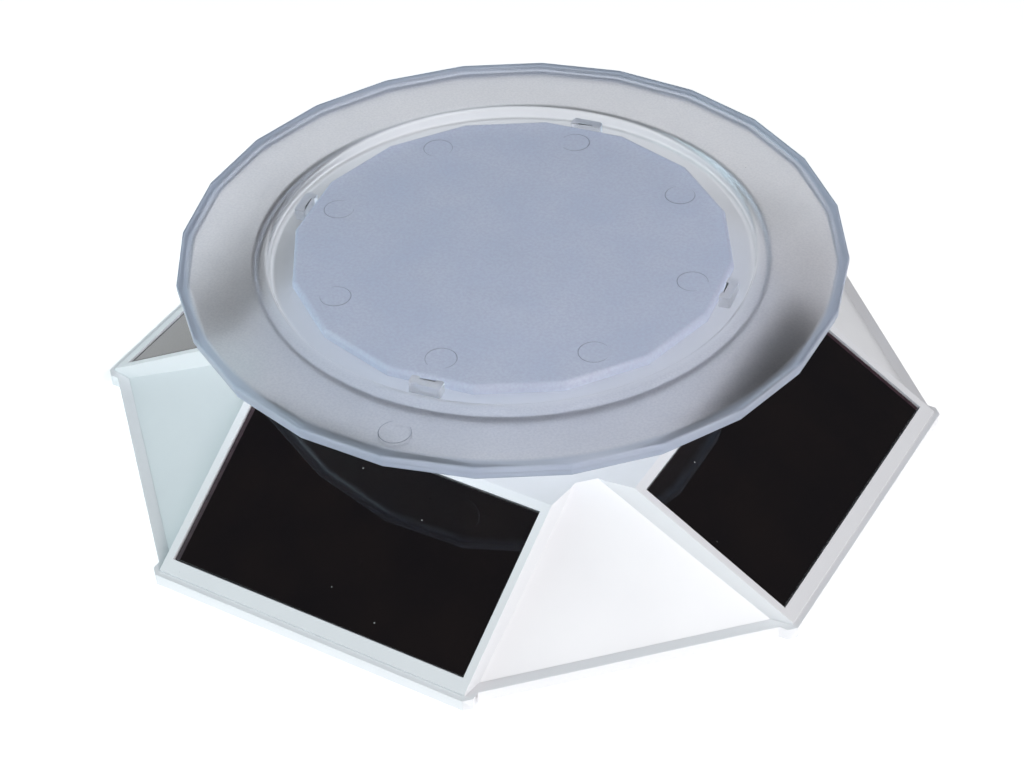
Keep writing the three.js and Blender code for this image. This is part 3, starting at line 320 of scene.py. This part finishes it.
def frosted_plastic():
    made = Finish("frosted_plastic", ior=1.3)
    tint = made.clouded(7, (0.73, 0.725, 0.75), (0.69, 0.69, 0.72), detail=4)
    grain = made.between(made.noise(0.4, 2), 0, 0.5, 0.35, 0.65)
    tint = made.blend(grain, tint, (0.52, 0.525, 0.57))
    channel = made.ring(**FROSTED_CHANNEL)
    rim = made.ring(**FROSTED_RIM)
    tint = made.blend(channel, tint, (0.76, 0.765, 0.8))
    tint = made.blend(rim, tint, (0.47, 0.51, 0.6))
    dust = made.specks(spacing=6, radius=0.13, share=0.2)
    made.set("Base Color", made.blend(dust, tint, (0.2, 0.2, 0.22)))
    clear = made.between(channel, 0.975, 0.87, 0, 1)
    haze = made.between(rim, 0, 0.35, 0, 1)
    made.set("Transmission Weight", made.maths("SUBTRACT", clear, haze))
    made.set("Roughness", made.between(made.noise(1.2, 5), 0.34, 0.4))
    made.bump(made.noise(0.35, 4), 0.0015)
    made.let_lamps_through((0.95, 0.955, 0.97))
    return made


def insert_plastic():
    made = Finish("insert_plastic", transmission_weight=0.35, ior=1.35)
    tint = made.clouded(9, (0.73, 0.765, 0.86), (0.66, 0.71, 0.83), detail=5)
    fine = made.noise(0.5, 5)
    mottled = made.blend(made.between(fine, 0, 0.7, 0.35, 0.65), tint, (0.63, 0.635, 0.76))
    dust = made.specks(spacing=5, radius=0.16, share=0.3)
    made.set("Base Color", made.blend(dust, mottled, (0.16, 0.16, 0.2)))
    made.set("Roughness", made.between(fine, 0.36, 0.5))
    made.bump(fine, 0.012)
    made.let_lamps_through((0.85, 0.87, 0.92))
    return made


def solar_glass():
    made = Finish("solar_glass", ior=1.75)
    black = made.clouded(11, (0.0035, 0.002, 0.003), (0.007, 0.004, 0.004))
    dust = made.specks(spacing=4.5, radius=0.13, share=0.35)
    made.set("Base Color", made.blend(dust, black, (0.35, 0.36, 0.36)))
    smear = made.noise(6, 5, made.stretched(1, 0.4, 0.4))
    made.set("Roughness", made.between(smear, 0.02, 0.05))
    return made


def cell_edge():
    made = Finish("cell_edge", roughness=0.3)
    made.set("Base Color", made.clouded(2, (0.035, 0.018, 0.026), (0.06, 0.034, 0.043)))
    return made


# Ejector marks: darker and cloudier than the plastic round them, a painted shade for the dark line that
# light draws along each seam.
def mark_painted_shade():
    made = Finish("mark_painted_shade", transmission_weight=0.6, roughness=0.4)
    made.set("Base Color", made.clouded(1, (0.35, 0.37, 0.45), (0.42, 0.44, 0.51)))
    return made


FINISHES = {
    "white_plastic": white_plastic,
    "frosted_plastic": frosted_plastic,
    "insert_plastic": insert_plastic,
    "solar_glass": solar_glass,
    "rubber": lambda: moulded("rubber", (0.022, 0.022, 0.024), (0.035, 0.035, 0.037), (0.75, 0.9), 0.03),
    "steel": lambda: metal("steel", (0.55, 0.56, 0.58), (0.42, 0.43, 0.45), (0.25, 0.4)),
    "brass": lambda: metal("brass", (0.6, 0.42, 0.16), (0.48, 0.33, 0.12), (0.28, 0.42)),
    "nylon": lambda: moulded("nylon", (0.8, 0.77, 0.68), (0.72, 0.69, 0.6), (0.4, 0.55)),
    "black_plastic": lambda: moulded("black_plastic", (0.015,) * 3, (0.028,) * 3, (0.35, 0.5)),
    "cell_sleeve": lambda: moulded("cell_sleeve", (0.05, 0.2, 0.09), (0.035, 0.16, 0.07), (0.25, 0.38)),
    "circuit_board": lambda: moulded("circuit_board", (0.03, 0.16, 0.07), (0.02, 0.11, 0.05), (0.35, 0.5)),
    "lead_sleeve": lambda: moulded("lead_sleeve", (0.27, 0.025, 0.02), (0.2, 0.018, 0.015), (0.4, 0.55)),
}

# ---------------------------------------------------------------- mesh helpers


def add_piece(name, bm, finishes, body, replaced=(), sharp=40):
    """Makes a piece from bm, which rides on a CAD body and may stand for CAD nodes."""
    mesh = bpy.data.meshes.new(name)
    bmesh.ops.recalc_face_normals(bm, faces=bm.faces)
    bm.to_mesh(mesh)
    bm.free()
    mesh.shade_smooth()
    mesh.set_sharp_from_angle(angle=math.radians(sharp))
    for finish in finishes:
        mesh.materials.append(finish.material)
    piece = bpy.data.objects.new(name, mesh)
    scene.collection.objects.link(piece)
    weighted = piece.modifiers.new("weighted_normals", "WEIGHTED_NORMAL")
    weighted.keep_sharp = True
    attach(piece, body)
    if replaced:
        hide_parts(*replaced)


def arc_corner(before, corner, after, radius, steps=5):
    """The points that round off a corner of an outline in the plane."""
    to_before = (before - corner).normalized()
    to_after = (after - corner).normalized()
    half = to_before.angle(to_after) / 2
    reach = radius / math.tan(half)
    centre = corner + (to_before + to_after).normalized() * radius / math.sin(half)
    start = corner + to_before * reach - centre
    end = corner + to_after * reach - centre
    first = math.atan2(start.y, start.x)
    turn = math.atan2(end.y, end.x) - first
    turn = (turn + math.pi) % (2 * math.pi) - math.pi
    angles = [first + turn * step / steps for step in range(steps + 1)]
    return [centre + Vector((math.cos(a), math.sin(a))) * radius for a in angles]


def rounded_outline(corners):
    """A closed outline from (x, y, radius) corners, each rounded off by its radius."""
    flat = [Vector((x, y)) for x, y, _ in corners]
    outline = []
    for index, (_, _, radius) in enumerate(corners):
        corner = flat[index]
        if radius == 0:
            outline.append(corner)
        else:
            outline += arc_corner(flat[index - 1], corner, flat[(index + 1) % len(flat)], radius)
    return outline


def polygon_reach(angle, sides):
    """How far a regular polygon reaches at an angle, when its corners lie on the unit circle."""
    half = math.pi / sides
    return math.cos(half) / math.cos(angle % (2 * half) - half)


def polygon_angles(sides, near_corner=0.014, between=3):
    """Angles round a polygon: close together at each corner, and evenly spaced along each side."""
    pitch = 2 * math.pi / sides
    shares = [0, near_corner]
    shares += [(step + 1) / (between + 1) for step in range(between)]
    shares.append(1 - near_corner)
    return [pitch * (side + share) for side in range(sides) for share in shares]


def swept(outline, sides, flatness, start):
    """Sweeps a closed (radius, height) outline round Z. flatness(radius) is 1 where it follows a polygon."""
    bm = bmesh.new()
    rows = []
    for angle in polygon_angles(sides):
        row = []
        for radius, height in outline:
            reach = radius * (1 + flatness(radius) * (polygon_reach(angle, sides) - 1))
            row.append(bm.verts.new(polar(reach, angle + start, height)))
        rows.append(row)
    for index, row in enumerate(rows):
        following = rows[(index + 1) % len(rows)]
        for low in range(len(outline)):
            high = (low + 1) % len(outline)
            bm.faces.new((row[low], following[low], following[high], row[high]))
    return bm


def polar(radius, angle, height):
    """A point from millimetres and an angle about Z."""
    return Vector((radius * math.cos(angle), radius * math.sin(angle), height)) * MM


def smooth_step(value, low, high):
    share = min(1, max(0, (value - low) / (high - low)))
    return share * share * (3 - 2 * share)


def prism(bm, outline, bottom, top, place):
    """A straight body over a closed outline, put in place by a matrix. Millimetres."""
    lower = [bm.verts.new(place @ Vector((x, y, bottom)) * MM) for x, y in outline]
    upper = [bm.verts.new(place @ Vector((x, y, top)) * MM) for x, y in outline]
    count = len(outline)
    bm.faces.new(lower[::-1])
    cap = bm.faces.new(upper)
    for index in range(count):
        following = (index + 1) % count
        bm.faces.new((lower[index], lower[following], upper[following], upper[index]))
    return cap


def softened(node, radius, least_length, least_turn=14):
    """A copy of a CAD node's mesh with its edges rounded off.

    Edges shorter than least_length millimetres, or that turn by less than least_turn degrees, stay sharp.
    """
    bm = bmesh.new()
    bm.from_mesh(frame["nodes"][node].data)
    bmesh.ops.remove_doubles(bm, verts=bm.verts, dist=0.001 * MM)
    bmesh.ops.dissolve_limit(bm, angle_limit=math.radians(0.8), verts=bm.verts, edges=bm.edges)
    edges = [
        edge
        for edge in bm.edges
        if edge.is_manifold
        and edge.calc_length() > least_length * MM
        and edge.calc_face_angle() > math.radians(least_turn)
    ]
    bmesh.ops.bevel(
        bm, geom=edges, offset=radius * MM, segments=3, profile=0.5, affect="EDGES", clamp_overlap=True
    )
    return bm


def carved(bm, tool):
    """The body bm with the tool's body cut out of it."""
    made = []
    for part in (bm, tool):
        mesh = bpy.data.meshes.new("carving")
        bmesh.ops.recalc_face_normals(part, faces=part.faces)
        part.to_mesh(mesh)
        part.free()
        made.append(bpy.data.objects.new("carving", mesh))
        scene.collection.objects.link(made[-1])
    body, cutter = made
    cut = body.modifiers.new("cut", "BOOLEAN")
    cut.solver = "EXACT"
    cut.object = cutter
    result = bmesh.new()
    result.from_mesh(body.evaluated_get(bpy.context.evaluated_depsgraph_get()).to_mesh())
    for part in made:
        bpy.data.objects.remove(part)
    return result


# ---------------------------------------------------------------- turntable


def flat_share(radius):
    """0 where the disk is round, near its middle, and 1 where it follows its polygon."""
    return smooth_step(radius, *ROUND_TO_FLAT)


def add_disk(finish):
    """The disk: an outline of (radius, height, rounding) corners, swept round the axis."""
    skirt = RIM["drafted"] - RIM["skirt"]
    wall = STEP["radius"] + STEP["wall"]
    hole = WELL["hole"]
    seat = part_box("turntable_disk")[0].z / MM
    corners = [
        (hole, seat, 0.1),
        (WELL["radius"] + WELL["wall"], seat, 0.3),
        (WELL["radius"] + WELL["wall"], TRAY["bottom"], 0.3),
        (wall, TRAY["bottom"], 0.5),
        (wall, RING["ceiling"], 0.9),
        (skirt - RIM["skirt_draft"], RING["ceiling"], 1.0),
        (skirt, RIM["bottom"], 0.15),
        (RIM["drafted"], RIM["bottom"], 0.4),
        (RIM["drafted"], RIM["middle"], 0.05),
        (RIM["radius"], RIM["middle"], 0.1),
        (RIM["radius"], RING["top"], 0.35),
        *[(radius, RING["top"], 0) for radius in RING["rows"]],
        (STEP["radius"], RING["top"], 0.6),
        (STEP["radius"] - STEP["draft"], TRAY["top"], 0.9),
        (WELL["radius"], TRAY["top"], 0.3),
        (WELL["radius"], WELL["top"], 0.3),
        (hole, WELL["top"], 0.1),
    ]
    bm = swept(rounded_outline(corners), DISK_SIDES, flat_share, TURN)
    add_piece("disk_moulding", bm, [finish], "turntable", ["turntable_disk"])


def add_clips(finish):
    """The four clips that hold the insert: (x, y, rounding) corners, with a slot in the inner face."""
    bm = bmesh.new()
    inner, outer, half = CLIP["inner"], CLIP["outer"], CLIP["half"]
    notch, depth = CLIP_SLOT["half"], CLIP_SLOT["depth"]
    corners = [
        (inner, -half, 0.15),
        (outer, -half, 0.5),
        (outer, half, 0.5),
        (inner, half, 0.15),
        (inner, notch, 0.1),
        (inner + depth, notch, 0.1),
        (inner + depth, -notch, 0.1),
        (inner, -notch, 0.1),
    ]
    for quarter in range(4):
        place = Matrix.Rotation(TURN + quarter * QUARTER, 4, "Z")
        cap = prism(bm, rounded_outline(corners), CLIP["bottom"], CLIP["top"], place)
        rim = list(cap.edges)
        bmesh.ops.bevel(bm, geom=rim, offset=CLIP["edge"] * MM, segments=2, profile=0.5, affect="EDGES")
    add_piece("insert_clips", bm, [finish], "turntable")


def add_insert(finish):
    """The insert: an outline swept round a small core, whose wall then gives way to two lids."""
    core, edge, bottom, top = (INSERT[key] for key in ("core", "radius", "bottom", "top"))
    corners = [
        (core, bottom, 0),
        (edge, bottom, 0.2),
        (edge, top, 0.8),
        (INSERT["row"], top, 0),
        (core, top, 0),
    ]
    start = TURN + math.pi / INSERT["sides"]
    bm = swept(rounded_outline(corners), INSERT["sides"], lambda radius: 1.0, start)
    near = core * MM * 1.01  # a little past the core, which takes in its own points only
    for height in (bottom, top):
        loop = [v for v in bm.verts if abs(v.co.z - height * MM) < 1e-6 and v.co.xy.length < near]
        loop.sort(key=lambda v: math.atan2(v.co.y, v.co.x))
        bm.faces.new(loop)
    wall = [f for f in bm.faces if len(f.verts) == 4 and all(v.co.xy.length < near for v in f.verts)]
    bmesh.ops.delete(bm, geom=wall, context="FACES_ONLY")
    add_piece("insert_sheet", bm, [finish], "turntable", ["insert_plate"])


def add_marks(name, finish, marks, height, opening):
    """The thin C-shaped lines that ejector pins leave, in a ring. The first opens at the angle opening."""
    bm = bmesh.new()
    steps, section = MARK["steps"], MARK["section"]
    for index, degrees in enumerate(marks["places"]):
        centre = polar(marks["radius"], TURN + math.radians(degrees), height)
        rows = []
        for step in range(steps + 1):
            angle = opening + index * MARK_TURN + MARK_SPAN * step / steps
            along = MARK["blunt"] + (1 - 2 * MARK["blunt"]) * step / steps
            taper = math.sin(math.pi * along) ** 0.5
            outward = Vector((math.cos(angle), math.sin(angle), 0))
            middle = centre + outward * MARK["radius"] * MM
            row = []
            for side in range(section):
                turn = side * 2 * math.pi / section
                offset = outward * math.cos(turn) + Vector((0, 0, math.sin(turn) * MARK["flatness"]))
                row.append(bm.verts.new(middle + offset * MARK["wire"] * taper * MM))
            rows.append(row)
        for row, following in zip(rows, rows[1:]):
            for side in range(section):
                other = (side + 1) % section
                bm.faces.new((row[side], following[side], following[other], row[other]))
        bm.faces.new(rows[0])
        bm.faces.new(rows[-1][::-1])
    add_piece(name, bm, [finish], "turntable", sharp=180)


# ---------------------------------------------------------------- base


def add_softened(name, node, finish, body, edges):
    """A piece that stands for one CAD node and has its shape, with rounded edges."""
    add_piece(name, softened(node, **edges), [finish], body, [node])


def add_panels(glass, edge):
    """Each panel's glass, with the strip of bare backing that shows along one of its sides."""
    for number, side in STRIP["sides"].items():
        node = f"solar_panel_{number}"
        outward = Vector(side)
        start = max(outward.dot(corner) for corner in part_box(node)) - STRIP["width"] * MM
        bm = softened(node, radius=0.15, least_length=5)
        whole = bm.verts[:] + bm.edges[:] + bm.faces[:]
        bmesh.ops.bisect_plane(bm, geom=whole, plane_co=outward * start, plane_no=outward)
        for face in bm.faces:
            face.material_index = int(outward.dot(face.calc_center_median()) > start)
        add_piece(f"panel_glass_{number}", bm, [glass, edge], "base", [node])


def add_base_screws(finish):
    """The four base screws, each with a cross recess cut into its head."""
    reach, half, rounding = RECESS["reach"], RECESS["half"], RECESS["rounding"]
    arm = [(half, half), (reach, half), (reach, -half), (half, -half)]
    corners = []
    for quarter in range(4):
        turn = Matrix.Rotation(-quarter * QUARTER, 2)
        corners += [(*(turn @ Vector(point)), rounding) for point in arm[:3]]
    for number in range(1, 5):
        node = f"base_screw_{number}"
        low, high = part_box(node)
        middle = (low + high) / 2 / MM
        spin = Matrix.Rotation(number * RECESS["turn"], 4, "Z")
        place = Matrix.Translation((middle.x, middle.y, low.z / MM)) @ spin
        tool = bmesh.new()
        prism(tool, rounded_outline(corners), -RECESS["depth"], RECESS["depth"], place)
        bm = carved(softened(node, radius=0.15, least_length=0.5), tool)
        add_piece(f"screw_turning_{number}", bm, [finish], "base", [node])


# ---------------------------------------------------------------- the stand

add_camera()
add_world(**WORLD)
for name, light in SOFTBOXES.items():
    add_softbox(name, **light)
add_floor()
scene.view_settings.view_transform = "Standard"

finishes = {slot: make() for slot, make in FINISHES.items()}
slots = {entry["node"]: entry["material_slot"] for entry in frame["record"]["subparts"]}
for name, node in frame["nodes"].items():
    node.data.materials[0] = finishes[slots[name]].material

add_disk(finishes["frosted_plastic"])
add_clips(finishes["frosted_plastic"])
add_insert(finishes["insert_plastic"])
# The marks carry painted shade: a darker colour for the line that each seam shows.
shade = mark_painted_shade()
add_marks("insert_marks", shade, INSERT_MARKS, INSERT["top"], opening=0.4)
add_marks("ring_mark", shade, RING_MARKS, RING["top"], opening=2.2)
add_marks("ring_mark_below", shade, RING_MARKS, RING["ceiling"], opening=3.4)
add_panels(finishes["solar_glass"], cell_edge())
add_base_screws(finishes["steel"])

for name, (node, body, slot, edges) in ROUNDED.items():
    add_softened(name, node, finishes[slot], body, edges)
